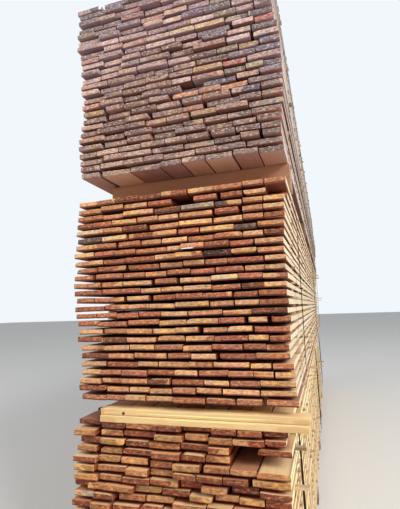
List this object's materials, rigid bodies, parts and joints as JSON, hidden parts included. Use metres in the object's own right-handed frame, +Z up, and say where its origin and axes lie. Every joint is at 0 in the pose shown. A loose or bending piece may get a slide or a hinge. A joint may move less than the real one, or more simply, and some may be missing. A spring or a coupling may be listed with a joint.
{
  "type": "stack of lumber",
  "caption": "Tall yard stack of sawn boards in three stickered packages on timber bearers, with thin straps.",
  "frame": {"origin": "on the ground under the middle of the central ground bearer", "axes": "+X across the stack to the right seen from its near end, +Y along the boards away from the near end, +Z up"},
  "size_m": [1.1096, 6.0503, 3.107],
  "materials": {
    "sawn_board": "rough sawn, reddish ends and pale sides",
    "weathered_board": "rough sawn, greyed by weather",
    "sticker_lath": "rough sawn lath",
    "bearer_timber": "sawn square timber",
    "fresh_timber": "fresh pale sawn timber",
    "strap": "dark packing strap"
  },
  "bodies": {
    "root": {"dunnage_lower_plank": "fresh_timber", "dunnage_upper_plank": "fresh_timber", "ground_bearers": "bearer_timber", "lower_boards_rows_01_04": "sawn_board", "lower_boards_rows_05_08": "sawn_board", "lower_boards_rows_09_12": "sawn_board", "lower_boards_rows_13_16": "sawn_board", "lower_boards_rows_17_20": "sawn_board", "lower_boards_rows_21_24": "sawn_board", "lower_boards_rows_25_26": "sawn_board", "lower_stickers_rows_01_04": "sticker_lath", "lower_stickers_rows_05_08": "sticker_lath", "lower_stickers_rows_09_12": "sticker_lath", "lower_stickers_rows_13_16": "sticker_lath", "lower_stickers_rows_17_20": "sticker_lath", "lower_stickers_rows_21_24": "sticker_lath", "lower_stickers_rows_25_25": "sticker_lath", "lower_straps": "strap", "middle_bearers": "bearer_timber", "middle_boards_rows_01_04": "sawn_board", "middle_boards_rows_05_08": "sawn_board", "middle_boards_rows_09_12": "sawn_board", "middle_boards_rows_13_16": "sawn_board", "middle_boards_rows_17_20": "sawn_board", "middle_boards_rows_21_24": "sawn_board", "middle_boards_rows_25_26": "sawn_board", "middle_stickers_rows_01_04": "sticker_lath", "middle_stickers_rows_05_08": "sticker_lath", "middle_stickers_rows_09_12": "sticker_lath", "middle_stickers_rows_13_16": "sticker_lath", "middle_stickers_rows_17_20": "sticker_lath", "middle_stickers_rows_21_24": "sticker_lath", "middle_stickers_rows_25_25": "sticker_lath", "middle_straps": "strap", "upper_bearers": "bearer_timber", "upper_boards_rows_01_04": "weathered_board", "upper_boards_rows_05_08": "weathered_board", "upper_boards_rows_09_12": "weathered_board", "upper_boards_rows_13_16": "weathered_board", "upper_boards_rows_17_20": "weathered_board", "upper_boards_rows_21_24": "weathered_board", "upper_boards_rows_25_26": "weathered_board", "upper_stickers_rows_01_04": "sticker_lath", "upper_stickers_rows_05_08": "sticker_lath", "upper_stickers_rows_09_12": "sticker_lath", "upper_stickers_rows_13_16": "sticker_lath", "upper_stickers_rows_17_20": "sticker_lath", "upper_stickers_rows_21_24": "sticker_lath", "upper_stickers_rows_25_25": "sticker_lath"}
  },
  "joints": []
}
